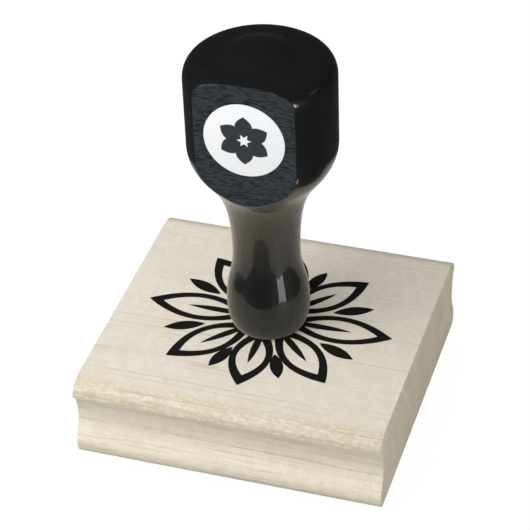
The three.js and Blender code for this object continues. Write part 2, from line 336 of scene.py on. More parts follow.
growth, growth_in, growth_out = group(
    "maple_growth",
    [("Drift", "NodeSocketFloat", 2.4), ("Waver", "NodeSocketFloat", 0.35)],
    [(label, "NodeSocketFloat") for label in ("Line", "Ring Tone", "Radius", "Angle")],
)
place = millimetres(growth)
split = add(growth, "ShaderNodeSeparateXYZ", None, {0: place})
away_y = calc(growth, "SUBTRACT", split.outputs[1], HEART_Y)
away_z = calc(growth, "SUBTRACT", split.outputs[2], HEART_Z)
straight = calc(
    growth, "SQRT",
    calc(
        growth, "ADD",
        calc(growth, "MULTIPLY", away_y, away_y), calc(growth, "MULTIPLY", away_z, away_z),
    ),
)
slow = calc(growth, "SUBTRACT", blur(growth, place, (0.22, 0.5, 0.5), 0.055, 1.0), 0.5)
quick = calc(growth, "SUBTRACT", blur(growth, place, (0.3, 1, 1), 0.32, 2.0), 0.5)
by_year = add(growth, "ShaderNodeCombineXYZ", None, {0: straight}).outputs[0]
uneven = calc(growth, "SUBTRACT", blur(growth, by_year, (1, 1, 1), 0.4, 1.0), 0.5)
wander = calc(
    growth, "ADD",
    calc(growth, "MULTIPLY", slow, growth_in.outputs["Drift"]),
    calc(growth, "MULTIPLY", quick, growth_in.outputs["Waver"]),
)
shift = calc(growth, "MULTIPLY_ADD", uneven, UNEVEN_YEARS, wander)
radius = calc(growth, "ADD", straight, shift)
past_first = calc(growth, "SUBTRACT", radius, FIRST_RING)
closing = calc(growth, "MULTIPLY", calc(growth, "MULTIPLY", past_first, past_first), RINGS_CLOSING)
rings = calc(growth, "ADD", calc(growth, "MULTIPLY", past_first, RINGS_PER_MM), closing)
within = calc(growth, "FRACT", rings)
count = calc(growth, "FLOOR", rings)
strength = add(
    growth, "ShaderNodeTexWhiteNoise", {"noise_dimensions": "1D"}, {"W": count}
).outputs[0]
late_wood = calc(
    growth, "MULTIPLY",
    band(growth, within, *LATE_WOOD),
    calc(growth, "SUBTRACT", 1.0, band(growth, within, *YEAR_END)),
)
lasting = band(growth, blur(growth, place, (0.18, 1, 1), 0.35, 2.0), *LINE_LASTS)
put(growth, growth_out.inputs["Line"], calc(
    growth, "MULTIPLY", calc(growth, "MULTIPLY", late_wood, lasting),
    calc(growth, "MULTIPLY_ADD", strength, 1 - FAINTEST_LINE, FAINTEST_LINE),
))
put(growth, growth_out.inputs["Ring Tone"], calc(
    growth, "ADD", calc(growth, "MULTIPLY", strength, YEAR_SHARE),
    calc(growth, "MULTIPLY", within, 1 - YEAR_SHARE),
))
put(growth, growth_out.inputs["Radius"], straight)
put(growth, growth_out.inputs["Angle"], calc(growth, "ARCTAN2", away_z, away_y))


def material(name, **values):
    """A material with a Principled shader given plain values, its node tree and the shader."""
    made = bpy.data.materials.new(name)
    made.use_nodes = True
    tree = made.node_tree
    tree.nodes.clear()
    shader = tree.nodes.new("ShaderNodeBsdfPrincipled")
    output = tree.nodes.new("ShaderNodeOutputMaterial")
    tree.links.new(shader.outputs[0], output.inputs["Surface"])
    for label, value in values.items():
        shader.inputs[label.replace("_", " ")].default_value = value
    return made, tree, shader


def use(tree, group_tree, **values):
    """A copy of a node group in a tree, with its inputs set."""
    made = tree.nodes.new("ShaderNodeGroup")
    made.node_tree = group_tree
    for label, value in values.items():
        put(tree, made.inputs[label.replace("_", " ")], value)
    return made


def bumped(tree, shader, height, depth):
    """The shader's surface is given relief of that depth, in millimetres."""
    made = add(
        tree, "ShaderNodeBump", None, {"Height": height, "Distance": depth * MM, "Strength": 1.0}
    )
    tree.links.new(made.outputs[0], shader.inputs["Normal"])


MAPLE = (0.755, 0.700, 0.592, 1)
MAPLE_WARM = (0.690, 0.610, 0.475, 1)
MAPLE_LINE = (0.430, 0.320, 0.200, 1)
# The pale colour is the curl figure's own, and on the bead it is also a painted sheen.
MAPLE_PALE_AND_SHEEN = (0.830, 0.790, 0.700, 1)
# The moulded faces take a painted warm light, and the bead a painted shade, from these multipliers.
MOULDED_PAINTED_WARM_LIGHT = (1.10, 1.05, 0.90, 1)
BEAD_PAINTED_SHADE = (0.72, 0.69, 0.61, 1)
END_GRAIN = (0.730, 0.655, 0.520, 1)
END_LINE = (0.560, 0.470, 0.335, 1)
END_RAY = (0.800, 0.735, 0.610, 1)

# Where a pattern starts to show, where it is full, and its share of the colour.
BLOTCHES = (0.42, 0.72, 0.34)
CURLS = (0.45, 0.66, 0.50)
FIBRES = (0.48, 0.72, 0.22)
FLECKS = (0.52, 0.70, 0.20)
END_BLOTCHES = (0.40, 0.70, 0.35)
END_RAYS = (0.50, 0.72, 0.45)
END_PORES = (0.52, 0.75, 0.30)
# The next pattern is a painted sheen: pale mottles on the bead for its broken highlight.
BEAD_SHEEN_SPOTS = (0.40, 0.68)
STREAKS = (0.54, 0.64)

# How far the moulding's painted warm light, the bead's painted shade and painted sheen, and the
# moulding's extra grain fade, in millimetres: back on to the flat top, short of the edge, and under
# and over the bead's lower edge.
FADE_ON_TOP = 0.3
SHORT_OF_EDGE = 1.5
UNDER_BEAD = 0.5
OVER_BEAD = 0.3

# How strongly the marks show, and the moulding's painted warm light, the bead's painted shade and
# painted sheen.
RING_SHARE = 0.16
MOULDED_WARM_LIGHT_SHARE = 0.35
BEAD_SHADE_SHARE = 0.9
BEAD_SHEEN_SHARE = 0.5
STREAK_SHARE = 0.24
LINE_SHARE = 0.42
MOULDED_LINE_EXTRA = 0.3
END_RING_SHARE = 0.3
END_LINE_SHARE = 0.5
GRAIN_RELIEF = 0.035
END_RELIEF = 0.03

bead_level = block_low.z / MM + block_height - BEAD_DROP
long_grain, tree, shader = material("maple_long_grain", Specular_IOR_Level=0.45)
place = millimetres(tree)
rings = use(tree, growth)
blotch = blur(tree, place, (0.35, 1, 1), 0.11, 2.0)
fibre = blur(tree, place, (0.05, 1, 1), 7.0, 3.0, 0.6)
fleck = blur(tree, place, (0.35, 1, 1), 3.4, 4.0, 0.65)
curl = blur(tree, place, (1.0, 0.55, 0.55), 0.62, 4.0, 0.62)
colour = laid(tree, MAPLE, MAPLE_WARM, blotch, *BLOTCHES)
colour = laid(tree, colour, MAPLE_PALE_AND_SHEEN, curl, *CURLS)
ring_tone = calc(tree, "MULTIPLY", rings.outputs["Ring Tone"], RING_SHARE)
colour = blend(tree, ring_tone, colour, MAPLE_WARM)
colour = laid(tree, colour, MAPLE_LINE, fibre, *FIBRES)
colour = laid(tree, colour, MAPLE_LINE, fleck, *FLECKS)

split = add(tree, "ShaderNodeSeparateXYZ", None, {0: place})
off_middle = calc(tree, "ABSOLUTE", split.outputs[1])
moulded_from = block_depth / 2 - BEAD_RUN - FADE_ON_TOP
moulded = band(tree, off_middle, moulded_from, block_depth / 2 - SHORT_OF_EDGE)
above_cove = band(tree, split.outputs[2], bead_level - UNDER_BEAD, bead_level + OVER_BEAD)
on_bead = calc(tree, "MULTIPLY", moulded, above_cove)
# Painted light: the moulded faces are warmed as if lit by warm bounce light.
painted_light_share = calc(tree, "MULTIPLY", moulded, MOULDED_WARM_LIGHT_SHARE)
colour = blend(tree, painted_light_share, colour, MOULDED_PAINTED_WARM_LIGHT, "MULTIPLY")
# Painted shade: the bead is darkened where it turns away from the light.
painted_light_share = calc(tree, "MULTIPLY", on_bead, BEAD_SHADE_SHARE)
colour = blend(tree, painted_light_share, colour, BEAD_PAINTED_SHADE, "MULTIPLY")
# Painted sheen: pale mottles on the bead stand in for its broken highlight.
bead_sheen = band(tree, blur(tree, place, (0.5, 1, 1), 1.7, 4.0, 0.65), *BEAD_SHEEN_SPOTS)
bead_sheen = calc(tree, "MULTIPLY", bead_sheen, on_bead)
colour = blend(tree, calc(tree, "MULTIPLY", bead_sheen, BEAD_SHEEN_SHARE), colour, MAPLE_PALE_AND_SHEEN)
streaks = band(tree, blur(tree, place, (0.03, 1, 1), 2.2, 2.0, 0.5), *STREAKS)
streaks = calc(tree, "MULTIPLY", streaks, moulded)
colour = blend(tree, calc(tree, "MULTIPLY", streaks, STREAK_SHARE), colour, MAPLE_LINE)
line_share = calc(tree, "MULTIPLY_ADD", moulded, MOULDED_LINE_EXTRA, LINE_SHARE)
line_share = calc(tree, "MULTIPLY", rings.outputs["Line"], line_share)
colour = blend(tree, line_share, colour, MAPLE_LINE)
put(tree, shader.inputs["Base Color"], colour)
put(tree, shader.inputs["Roughness"], calc(tree, "MULTIPLY_ADD", curl, 0.36, 0.3))
relief = calc(tree, "ADD", calc(tree, "MULTIPLY", fibre, 0.4), calc(tree, "MULTIPLY", curl, 2.2))
relief = calc(tree, "SUBTRACT", relief, calc(tree, "MULTIPLY", rings.outputs["Line"], 0.3))
bumped(tree, shader, relief, GRAIN_RELIEF)

end_grain, tree, shader = material("maple_end_grain", Specular_IOR_Level=0.08)
place = millimetres(tree)
rings = use(tree, growth)
across = add(tree, "ShaderNodeCombineXYZ", None, {
    0: calc(tree, "MULTIPLY", rings.outputs["Angle"], 150.0),
    1: calc(tree, "MULTIPLY", rings.outputs["Radius"], 0.28),
})
rays = blur(tree, across.outputs[0], (1, 1, 1), 1.0, 3.0, 0.6)
pores = blur(tree, place, (0.6, 1, 1), 8.0, 2.0, 0.6)
blotch = blur(tree, place, (1, 1, 1), 0.16, 3.0)
colour = laid(tree, END_GRAIN, END_LINE, blotch, *END_BLOTCHES)
colour = laid(tree, colour, END_RAY, rays, *END_RAYS)
colour = laid(tree, colour, END_LINE, pores, *END_PORES)
for label, share in (("Ring Tone", END_RING_SHARE), ("Line", END_LINE_SHARE)):
    shown = calc(tree, "MULTIPLY", rings.outputs[label], share)
    colour = blend(tree, shown, colour, END_LINE)
put(tree, shader.inputs["Base Color"], colour)
put(tree, shader.inputs["Roughness"], calc(tree, "MULTIPLY_ADD", pores, 0.2, 0.6))
bumped(tree, shader, calc(tree, "ADD", pores, rays), END_RELIEF)

block = piece("moulded_block", bm, "mount", [long_grain, end_grain], 35)
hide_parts("mount_block")


# ==== Index print =================================================================================
# The picture of what the stamp prints, put on the block's top in flat black ink: a flower with
# eight outlined petals, a vein up each one and a small leaf between each two. The handle stands
# on its heart.
PETALS = 8
PETAL_START = 3.4
PETAL_WIDTH = 8.2
LINE_WIDTH = 1.35
TIP_LINE = 3.0
VEIN_WIDTH = 1.5
VEIN_SHARE = 0.62
LEAF_WIDTH = 2.6
LEAF_START = 0.52
LEAF_END = 0.86
HEART_RADIUS = 4.2
MOTIF_MARGIN = 2.0
INK_THICKNESS = 0.012
INK_GAP = 0.003
LEAF_STEPS = 20
HEART_STEPS = 64


def leaf(start, end, width):
    """The outline of a pointed leaf along +X, from tip to tip and back."""
    third = (end - start) / 3
    pull = width * 2 / 3
    tip, far = (start, 0), (end, 0)
    there = cubic(tip, (start + third, -pull), (end - third, -pull), far, LEAF_STEPS)
    return there + cubic(far, (end - third, pull), (start + third, pull), tip, LEAF_STEPS)


def slab(outline, low, high, turn=0, hole=None):
    """A closed bmesh of an outline, in millimetres, between two levels. A hole has as many points
    as its outline."""
    bm = bmesh.new()
    loops = []
    for points in (outline, hole) if hole else (outline,):
        verts = [bm.verts.new((p[0] * MM, p[1] * MM, low)) for p in points]
        loops.append([bm.edges.new(p) for p in zip(verts, verts[1:] + verts[:1])])
    if hole:
        bmesh.ops.bridge_loops(bm, edges=loops[0] + loops[1])
    else:
        bm.faces.new([e.verts[0] for e in loops[0]])
    grown = bmesh.ops.extrude_face_region(bm, geom=bm.faces[:])["geom"]
    top = [g for g in grown if isinstance(g, bmesh.types.BMVert)]
    bmesh.ops.translate(bm, verts=top, vec=(0, 0, high - low))
    bmesh.ops.rotate(bm, verts=bm.verts, cent=(0, 0, 0), matrix=Matrix.Rotation(turn, 3, "Z"))
    bmesh.ops.recalc_face_normals(bm, faces=bm.faces)
    return bm


def gathered(parts):
    """One bmesh that holds a copy of each part, which are freed."""
    bm = bmesh.new()
    for part in parts:
        mesh = mesh_of(part, "part")
        bm.from_mesh(mesh)
        bpy.data.meshes.remove(mesh)
    return bm


def circle(radius, steps):
    """Points round a circle about the origin."""
    return [
        (radius * math.cos(2 * math.pi * i / steps), radius * math.sin(2 * math.pi * i / steps))
        for i in range(steps)
    ]


def reach_at(angle, half_length, half_depth):
    """How far an ellipse reaches in a direction."""
    return 1 / math.hypot(math.cos(angle) / half_length, math.sin(angle) / half_depth)


def flower(half_length, half_depth, low, high):
    """The flower as one closed bmesh between two levels."""
    strokes = []
    for i in range(PETALS):
        angle = i * 2 * math.pi / PETALS
        reach = reach_at(angle, half_length, half_depth)
        inner = leaf(
            PETAL_START + TIP_LINE, reach - TIP_LINE, PETAL_WIDTH - 2 * LINE_WIDTH
        )
        strokes.append(slab(leaf(PETAL_START, reach, PETAL_WIDTH), low, high, angle, inner))
        vein_end = PETAL_START + VEIN_SHARE * (reach - PETAL_START)
        strokes.append(slab(leaf(PETAL_START, vein_end, VEIN_WIDTH), low, high, angle))
        between = angle + math.pi / PETALS
        reach = reach_at(between, half_length, half_depth)
        small = leaf(LEAF_START * reach, LEAF_END * reach, LEAF_WIDTH)
        strokes.append(slab(small, low, high, between))
    heart = slab(circle(HEART_RADIUS, HEART_STEPS), low, high)
    return joined(heart, gathered(strokes), "UNION")


speckle, speckle_in, speckle_out = group(
    "surface_speckle",
    [("Grain Size", "NodeSocketFloat", 4.0), ("Cloud Size", "NodeSocketFloat", 0.2)],
    [("Grain", "NodeSocketFloat"), ("Cloud", "NodeSocketFloat")],
)
place = millimetres(speckle)
for label, detail in (("Grain", 3.0), ("Cloud", 2.0)):
    cloud = add(speckle, "ShaderNodeTexNoise", None, {
        "Vector": place, "Scale": speckle_in.outputs[label + " Size"], "Detail": detail,
    })
    put(speckle, speckle_out.inputs[label], cloud.outputs[0])

INK = (0.0065, 0.006, 0.0055, 1)
INK_THIN = (0.020, 0.018, 0.015, 1)

ink, tree, shader = material("flat_black_ink", Specular_IOR_Level=0.2)
dust = use(tree, speckle, Grain_Size=7.0, Cloud_Size=0.5)
thin = calc(tree, "MULTIPLY", band(tree, dust.outputs["Grain"], 0.52, 0.8), 0.7)
put(tree, shader.inputs["Base Color"], blend(tree, thin, INK, INK_THIN))
put(tree, shader.inputs["Roughness"], calc(tree, "MULTIPLY_ADD", dust.outputs["Cloud"], 0.2, 0.6))
bumped(tree, shader, dust.outputs["Grain"], 0.008)

die_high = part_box("rubber_die")[1]
motif_length = die_high.x / MM - MOTIF_MARGIN
motif_depth = die_high.y / MM - MOTIF_MARGIN
ink_low = block_high.z + INK_GAP * MM
bm = flower(motif_length, motif_depth, ink_low, ink_low + INK_THICKNESS * MM)
index_print = piece("index_print", bm, "mount", [ink], 30)
# The print is left out of shade and reflections, so the enamel above it mirrors bare wood.
index_print.visible_glossy = False
index_print.visible_diffuse = False
index_print.visible_shadow = False


# ==== Handle ======================================================================================
# A knob turned from hardwood, with a wide head, a narrow neck and a round foot, sprayed with gloss
# black enamel. A flat for the label was sanded on the head's front, and painted without the gloss.
HEAD_RADIUS = 14.2
HEAD_SIDE = 13.95
SHOULDER_DROP = 6.35
SHOULDER_RUN = 7.6
CROWN_RISE = 1.5
SHOULDER_RISE = 4.6
SHOULDER_EASE = 0.79
FLARE_DROP = 5.3
FLARE_SETBACK = 1.7
WAIST_RADIUS = 6.55
WAIST_LEVEL = 17.8
FOOT_RADIUS = 8.12
FOOT_LEVEL = 5.2
FOOT_ROUND = 1.7
FOOT_PULL = 0.48
NECK_PULL = 0.72
FLARE_PULL = 1.39
FLAT_ARRIS = 0.30
BORE_DEPTH = 17.58
FRONT_ARC = math.radians(124)
FRONT_STEPS = 248
BACK_STEPS = 90
FOOT_STEPS = 10
LOWER_NECK_STEPS = 18
UPPER_NECK_STEPS = 24
FLARE_STEPS = 24
SIDE_STEPS = 44
SHOULDER_STEPS = 48
CROWN_STEPS = 20


def knob_profile(height):
    """The knob's half section as (radius, level), from the bore's top out and up to the crown."""
    seat = (FOOT_RADIUS - FOOT_ROUND, 0)
    foot = (FOOT_RADIUS, FOOT_LEVEL)
    waist = (WAIST_RADIUS, WAIST_LEVEL)
    head_top = height - SHOULDER_DROP
    head_bottom = head_top - HEAD_SIDE
    flare = (HEAD_RADIUS - FLARE_SETBACK, head_bottom - FLARE_DROP)
    corner = (HEAD_RADIUS, (flare[1] + head_bottom) / 2)
    crown_edge = (HEAD_RADIUS - SHOULDER_RUN, height - CROWN_RISE)
    foot_pull = FOOT_PULL * (waist[1] - foot[1])
    neck_pull = NECK_PULL * (flare[1] - waist[1])
    flare_pull = (Vector(flare) - Vector(corner)) * FLARE_PULL
    points = [Vector((0, BORE_DEPTH)), Vector((BORE_RADIUS, BORE_DEPTH - BORE_RADIUS))]
    points += [Vector((BORE_RADIUS, 0)), Vector(seat)]
    points += quarter_round(foot, seat, FOOT_STEPS)[:0:-1]
    points += cubic(
        foot, (foot[0], foot[1] + foot_pull), (waist[0], waist[1] - foot_pull), waist,
        LOWER_NECK_STEPS,
    )
    points += cubic(
        waist, (waist[0], waist[1] + neck_pull), Vector(flare) + flare_pull, flare,
        UPPER_NECK_STEPS,
    )
    points += bent(flare, corner, (HEAD_RADIUS, head_bottom), FLARE_STEPS)
    points += [
        Vector((HEAD_RADIUS, head_bottom + HEAD_SIDE * i / SIDE_STEPS)) for i in range(SIDE_STEPS)
    ]
    crown_pull = (crown_edge[0] / 2, height)
    shoulder_pull = Vector(crown_edge).lerp(crown_pull, -SHOULDER_EASE)
    points += cubic(
        (HEAD_RADIUS, head_top), (HEAD_RADIUS, head_top + SHOULDER_RISE), shoulder_pull,
        crown_edge, SHOULDER_STEPS,
    )
    points += bent(crown_edge, crown_pull, (0, height), CROWN_STEPS)
    return points + [Vector((0, height))]


def eased_below(value, limit, ease):
    """The smaller of two numbers, with a round corner where they meet."""
    share = min(max(0.5 + 0.5 * (limit - value) / ease, 0), 1)
    return limit + (value - limit) * share - ease * share * (1 - share)


handle_low, handle_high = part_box("handle")
flat_distance = -handle_low.y / MM
knob_height = (handle_high.z - handle_low.z) / MM
bm = bmesh.new()
row = [bm.verts.new((0, -p.x * MM, handle_low.z + p.y * MM)) for p in knob_profile(knob_height)]
line = [bm.edges.new(pair) for pair in zip(row, row[1:])]
start = Matrix.Rotation(-FRONT_ARC / 2, 3, "Z")
bmesh.ops.rotate(bm, verts=row, cent=(0, 0, 0), matrix=start)
turn = {"cent": (0, 0, 0), "axis": (0, 0, 1), "use_merge": False}
front_arc = bmesh.ops.spin(bm, geom=row + line, angle=FRONT_ARC, steps=FRONT_STEPS, **turn)
back_arc = {"geom": front_arc["geom_last"], "angle": 2 * math.pi - FRONT_ARC}
bmesh.ops.spin(bm, **back_arc, steps=BACK_STEPS, **turn)
bmesh.ops.remove_doubles(bm, verts=bm.verts, dist=2 * WELD)
bmesh.ops.recalc_face_normals(bm, faces=bm.faces)
for vert in bm.verts:
    if vert.co.z > handle_low.z + WAIST_LEVEL * MM and vert.co.y < 0:
        vert.co.y = -eased_below(-vert.co.y / MM, flat_distance, FLAT_ARRIS) * MM

ENAMEL = (0.0085, 0.0088, 0.0092, 1)
ENAMEL_THIN = (0.017, 0.014, 0.012, 1)
# The upper neck's paler brown is a painted reflection of the block's top, the second with wear.
NECK_PAINTED_REFLECTION = (0.0270, 0.0240, 0.0200, 1)
NECK_REFLECTION_WORN = (0.040, 0.034, 0.027, 1)
FLAT_PAINT = (0.0390, 0.0490, 0.0560, 1)
FLAT_PAINT_DARK = (0.0145, 0.0180, 0.0205, 1)

# Where the enamel's look changes, as levels over the face that prints; the upper neck below the
# head takes a painted reflection of the block's top. HEAD_FADE is counted from the head's lower
# edge, and FLAT_BLEED is how short of the flat its paint starts and is full.
HEAD_FADE = (-8.0, 1.0)
NECK_REFLECTION_LEVELS = (34.0, 46.0)
COAT_THICKENS = (24.0, 48.0)
FOOT_COAT = 0.7
FLAT_BLEED = (0.10, 0.02)
HEAD_RIPPLE = 0.5
NECK_RIPPLE_EXTRA = 3.6
ENAMEL_RELIEF = 0.10

enamel, tree, shader = material(
    "black_enamel", Coat_Roughness=0.045, Coat_IOR=1.42, Specular_IOR_Level=0.12
)
place = millimetres(tree)
split = add(tree, "ShaderNodeSeparateXYZ", None, {0: place})
outwards = calc(tree, "MULTIPLY", split.outputs[1], -1.0)
on_flat = band(tree, outwards, *(flat_distance - short for short in FLAT_BLEED))
off_flat = calc(tree, "SUBTRACT", 1.0, on_flat)
wood_below = blur(tree, place, (1, 1, 0.09), 1.9, 3.0, 0.6)
turning_marks = blur(tree, place, (0.12, 0.12, 1), 3.2, 2.0, 0.5)
worn = blur(tree, place, (1, 1, 1), 0.35, 4.0, 0.6)
ripple = blur(tree, place, (0.24, 1, 1), 3.6, 3.0, 0.55)
scratch = blur(tree, place, (0.10, 1, 1.4), 5.0, 2.0, 0.55)
thin = calc(tree, "MULTIPLY", band(tree, worn, 0.5, 0.8), 0.6)
head_bottom = handle_low.z / MM + knob_height - SHOULDER_DROP - HEAD_SIDE
up_head = band(tree, split.outputs[2], *(head_bottom + rise for rise in HEAD_FADE))
below_head = calc(tree, "SUBTRACT", 1.0, up_head)
# Painted reflection: the upper neck, under the head, is paler and browner where it mirrors the
# block.
gloss_colour = blend(
    tree, calc(tree, "MULTIPLY", below_head, band(tree, split.outputs[2], *NECK_REFLECTION_LEVELS)),
    blend(tree, thin, ENAMEL, ENAMEL_THIN),
    blend(tree, thin, NECK_PAINTED_REFLECTION, NECK_REFLECTION_WORN),
)
flat_colour = blend(tree, band(tree, ripple, 0.36, 0.58), FLAT_PAINT_DARK, FLAT_PAINT)
put(tree, shader.inputs["Base Color"], blend(tree, on_flat, gloss_colour, flat_colour))
put(tree, shader.inputs["Roughness"], calc(
    tree, "ADD",
    calc(tree, "MULTIPLY_ADD", worn, 0.12, 0.3), calc(tree, "MULTIPLY", on_flat, 0.16),
))
up_neck = band(tree, split.outputs[2], *COAT_THICKENS)
put(tree, shader.inputs["Coat Weight"], calc(
    tree, "MULTIPLY", off_flat,
    calc(tree, "MULTIPLY_ADD", up_neck, 1 - FOOT_COAT, FOOT_COAT),
))
on_gloss = calc(tree, "MULTIPLY_ADD", turning_marks, 0.16, calc(tree, "MULTIPLY", wood_below, 0.45))
ripples = calc(tree, "MULTIPLY_ADD", below_head, NECK_RIPPLE_EXTRA, HEAD_RIPPLE)
gloss_height = calc(tree, "MULTIPLY", calc(tree, "MULTIPLY", on_gloss, ripples), off_flat)
sanded = calc(tree, "ADD", ripple, calc(tree, "MULTIPLY", scratch, 0.5))
flat_height = calc(tree, "MULTIPLY", sanded, on_flat)
bumped(tree, shader, calc(tree, "ADD", gloss_height, flat_height), ENAMEL_RELIEF)

handle = piece("turned_handle", bm, "mount", [enamel], 50)
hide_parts("handle")


# ==== Handle label ================================================================================
# A round white coated label, die cut and pressed on to the flat, with a plain leaf-wheel mark
# printed on it in the same slate black as the paint round it.
LABEL_EDGE = 0.035
LABEL_STEPS = 160
MARK_LEAVES = 6
MARK_REACH = 5.1
MARK_START = 0.7
MARK_WIDTH = 3.3
MARK_THICKNESS = 0.012


def stood_up(bm, centre):
    """Turns a bmesh that lies face up so that it faces the front, with its middle at centre."""
    bmesh.ops.rotate(
        bm, verts=bm.verts, cent=(0, 0, 0), matrix=Matrix.Rotation(math.pi / 2, 3, "X")
    )
    bmesh.ops.translate(bm, verts=bm.verts, vec=centre)
    return bm


label_low, label_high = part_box("handle_label")
label_radius = (label_high.x - label_low.x) / 2 / MM
label_thickness = label_high.y - label_low.y
label_centre = Vector((0, label_high.y, (label_low.z + label_high.z) / 2))
bm = slab(circle(label_radius, LABEL_STEPS), 0, label_thickness)
rim = [e for e in bm.edges if all(v.co.z > label_thickness / 2 for v in e.verts)]
bmesh.ops.bevel(
    bm, geom=rim, offset=LABEL_EDGE * MM, offset_type="OFFSET", affect="EDGES",
    segments=3, profile=0.5, material=-1,
)

LABEL_WHITE = (0.93, 0.945, 0.955, 1)
LABEL_SHADE = (0.90, 0.915, 0.93, 1)

coated, tree, shader = material("coated_label", Specular_IOR_Level=0.4)
paper = use(tree, speckle, Grain_Size=5.0, Cloud_Size=0.25)
put(tree, shader.inputs["Base Color"], blend(
    tree, calc(tree, "MULTIPLY", band(tree, paper.outputs["Cloud"], 0.35, 0.75), 0.6),
    LABEL_WHITE, LABEL_SHADE,
))
put(tree, shader.inputs["Roughness"], calc(tree, "MULTIPLY_ADD", paper.outputs["Grain"], 0.16, 0.3))
bumped(tree, shader, paper.outputs["Grain"], 0.006)

label = piece("round_label", stood_up(bm, label_centre), "mount", [coated], 50)
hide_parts("handle_label")

mark_low = label_thickness + INK_GAP * MM
leaves = [
    slab(leaf(MARK_START, MARK_REACH, MARK_WIDTH), mark_low, mark_low + MARK_THICKNESS * MM, turn)
    for turn in (math.pi / 2 + i * 2 * math.pi / MARK_LEAVES for i in range(MARK_LEAVES))
]
MARK_INK = (0.030, 0.037, 0.042, 1)
MARK_INK_THIN = (0.040, 0.048, 0.054, 1)

slate_ink, tree, shader = material("slate_label_ink", Specular_IOR_Level=0.4)
dust = use(tree, speckle, Grain_Size=9.0, Cloud_Size=0.6)
put(tree, shader.inputs["Base Color"], blend(tree, dust.outputs["Grain"], MARK_INK, MARK_INK_THIN))
put(tree, shader.inputs["Roughness"], calc(tree, "MULTIPLY_ADD", dust.outputs["Cloud"], 0.15, 0.35))
bumped(tree, shader, dust.outputs["Grain"], 0.004)

united = leaves[0]
for other in leaves[1:]:
    united = joined(united, other, "UNION")
mark = piece("label_mark", stood_up(united, label_centre), "mount", [slate_ink], 30)


# ==== Handle screw ================================================================================
# A zinc-plated steel wood screw with a countersunk cross head, driven from the block's underside
# up into the handle before the film covers it.
ZINC = (0.60, 0.615, 0.64, 1)
ZINC_DULL = (0.43, 0.435, 0.44, 1)

zinc, tree, shader = material("zinc_plate", Metallic=1.0)
plate = use(tree, speckle, Grain_Size=6.0, Cloud_Size=0.7)
put(tree, shader.inputs["Base Color"], blend(
    tree, band(tree, plate.outputs["Cloud"], 0.35, 0.7), ZINC, ZINC_DULL,
))
put(tree, shader.inputs["Roughness"], calc(tree, "MULTIPLY_ADD", plate.outputs["Grain"], 0.3, 0.22))
bumped(tree, shader, plate.outputs["Grain"], 0.01)


def refinish(node, *finishes):
    """A carried-over CAD node takes these materials."""
    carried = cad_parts[node]
    carried.data.materials.clear()
    for finish in finishes:
        carried.data.materials.append(finish)


refinish("handle_screw", zinc)


# ==== Films and cushion ===========================================================================
# A sheet of pale closed-cell foam between two films of double-sided adhesive holds the rubber to
# the block. All are die cut to one outline, and the knife leaves the foam's edge a little hollow.
FILM = (0.84, 0.82, 0.73, 1)
FILM_MILKY = (0.72, 0.69, 0.58, 1)

adhesive, tree, shader = material("adhesive_film", Specular_IOR_Level=0.5)
sheet = use(tree, speckle, Grain_Size=3.0, Cloud_Size=0.3)
put(tree, shader.inputs["Base Color"], blend(
    tree, band(tree, sheet.outputs["Cloud"], 0.35, 0.7), FILM, FILM_MILKY,
))
put(tree, shader.inputs["Roughness"], calc(tree, "MULTIPLY_ADD", sheet.outputs["Grain"], 0.3, 0.25))
bumped(tree, shader, sheet.outputs["Grain"], 0.01)
for node in ("block_adhesive_film", "die_adhesive_film"):
    refinish(node, adhesive)

DIE_CORNER = 6.0
CORNER_STEPS = 14
FOAM_LAYERS = 8
FOAM_HOLLOW = 0.22
FOAM_ROUGH = 0.07
EDGE_STEP = 0.8
CRUMBS_PER_MM = 1.3


def die_outline(high, r):
    """A rectangle with round corners of radius r, in millimetres, with evenly spaced straights."""
    x, y = high.x / MM, high.y / MM
    centres = [(x - r, y - r), (r - x, y - r), (r - x, r - y), (x - r, r - y)]
    points = []
    for quarter, (cx, cy) in enumerate(centres):
        for i in range(CORNER_STEPS + 1):
            turn = math.pi / 2 * (quarter + i / CORNER_STEPS)
            points.append(Vector((cx + r * math.cos(turn), cy + r * math.sin(turn))))
        following = centres[(quarter + 1) % 4]
        turn = math.pi / 2 * (quarter + 1)
        end = Vector((following[0] + r * math.cos(turn), following[1] + r * math.sin(turn)))
        begin = points[-1]
        parts = max(1, round((end - begin).length / EDGE_STEP))
        points += [begin.lerp(end, i / parts) for i in range(1, parts)]
    return points


foam_low, foam_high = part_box("cushion_foam")
outline = die_outline(foam_high, DIE_CORNER)
bm = bmesh.new()
ring = [bm.verts.new((p.x * MM, p.y * MM, foam_low.z)) for p in outline]
bm.faces.new(ring)
layer = bm.faces[:]
for i in range(FOAM_LAYERS):
    grown = bmesh.ops.extrude_face_region(bm, geom=layer)["geom"]
    if i:
        bmesh.ops.delete(bm, geom=layer, context="FACES_ONLY")
    layer = [g for g in grown if isinstance(g, bmesh.types.BMFace)]
    raised = [g for g in grown if isinstance(g, bmesh.types.BMVert)]
    bmesh.ops.translate(bm, verts=raised, vec=(0, 0, (foam_high.z - foam_low.z) / FOAM_LAYERS))
bmesh.ops.recalc_face_normals(bm, faces=bm.faces)
bm.normal_update()
for vert in bm.verts:
    level = (vert.co.z - foam_low.z) / (foam_high.z - foam_low.z)
    inside = 4 * level * (1 - level)
    side = Vector((vert.normal.x, vert.normal.y, 0)).normalized()
    crumb = abs(noise.noise(vert.co / MM * CRUMBS_PER_MM)) * FOAM_ROUGH
    vert.co -= side * (inside * FOAM_HOLLOW + crumb) * MM

FOAM = (0.79, 0.775, 0.735, 1)
# The darker foam colour serves both the foam's uneven tone and a painted shade in its open pits.
FOAM_TONE_AND_PIT_SHADE = (0.60, 0.585, 0.54, 1)

